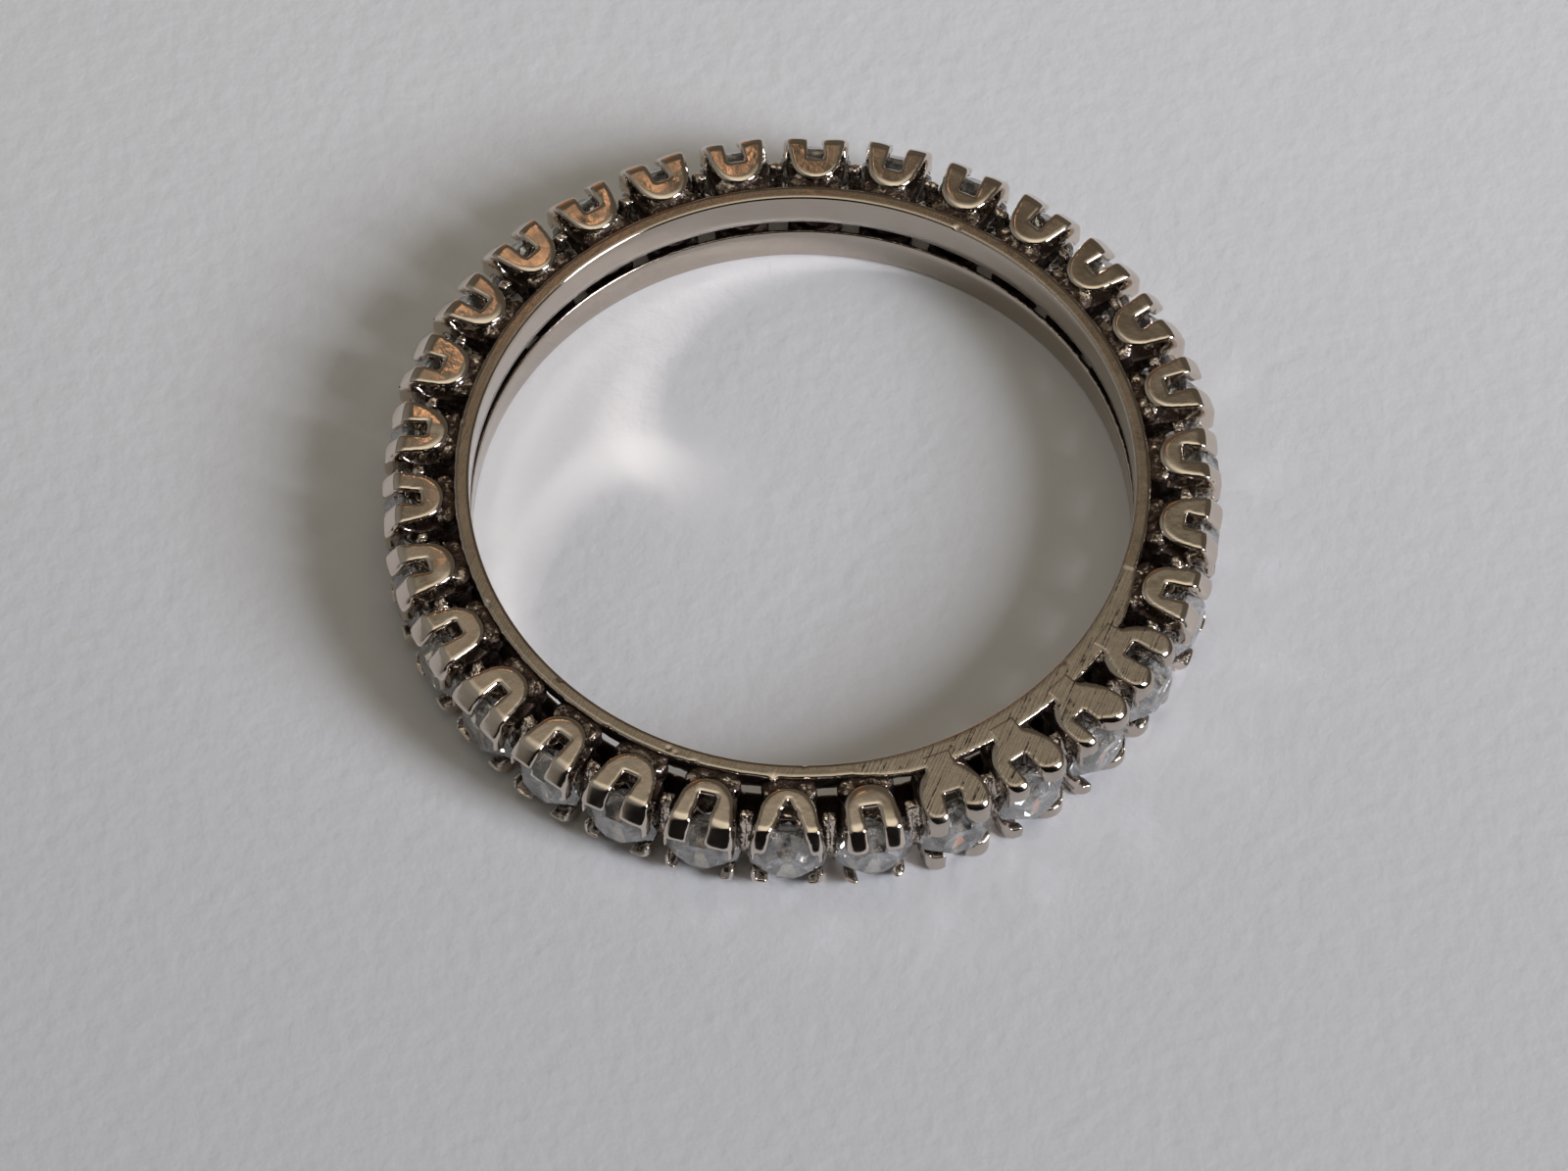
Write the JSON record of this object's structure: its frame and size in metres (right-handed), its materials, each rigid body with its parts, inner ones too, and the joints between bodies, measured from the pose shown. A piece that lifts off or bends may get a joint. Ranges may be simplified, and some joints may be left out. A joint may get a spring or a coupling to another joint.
{
  "type": "eternity ring with round stones in open slotted collets between two plain rails",
  "caption": "Full eternity finger ring: a row of round stones, each held by four claws of a slotted collet soldered between two plain rails.",
  "frame": {"origin": "centre of the finger hole, half way up the band", "axes": "+Z along the finger through the hole, -Y towards the first stone, +X to its right"},
  "size_m": [0.0216, 0.0216, 0.0028],
  "materials": {
    "white_gold": "polished, worn",
    "diamond": "cut and polished"
  },
  "bodies": {
    "root": {"mount": "white_gold", "stone_01": "diamond", "stone_02": "diamond", "stone_03": "diamond", "stone_04": "diamond", "stone_05": "diamond", "stone_06": "diamond", "stone_07": "diamond", "stone_08": "diamond", "stone_09": "diamond", "stone_10": "diamond", "stone_11": "diamond", "stone_12": "diamond", "stone_13": "diamond", "stone_14": "diamond", "stone_15": "diamond", "stone_16": "diamond", "stone_17": "diamond", "stone_18": "diamond", "stone_19": "diamond", "stone_20": "diamond", "stone_21": "diamond", "stone_22": "diamond", "stone_23": "diamond", "stone_24": "diamond", "stone_25": "diamond", "stone_26": "diamond", "stone_27": "diamond", "stone_28": "diamond", "stone_29": "diamond", "stone_30": "diamond"}
  },
  "joints": []
}
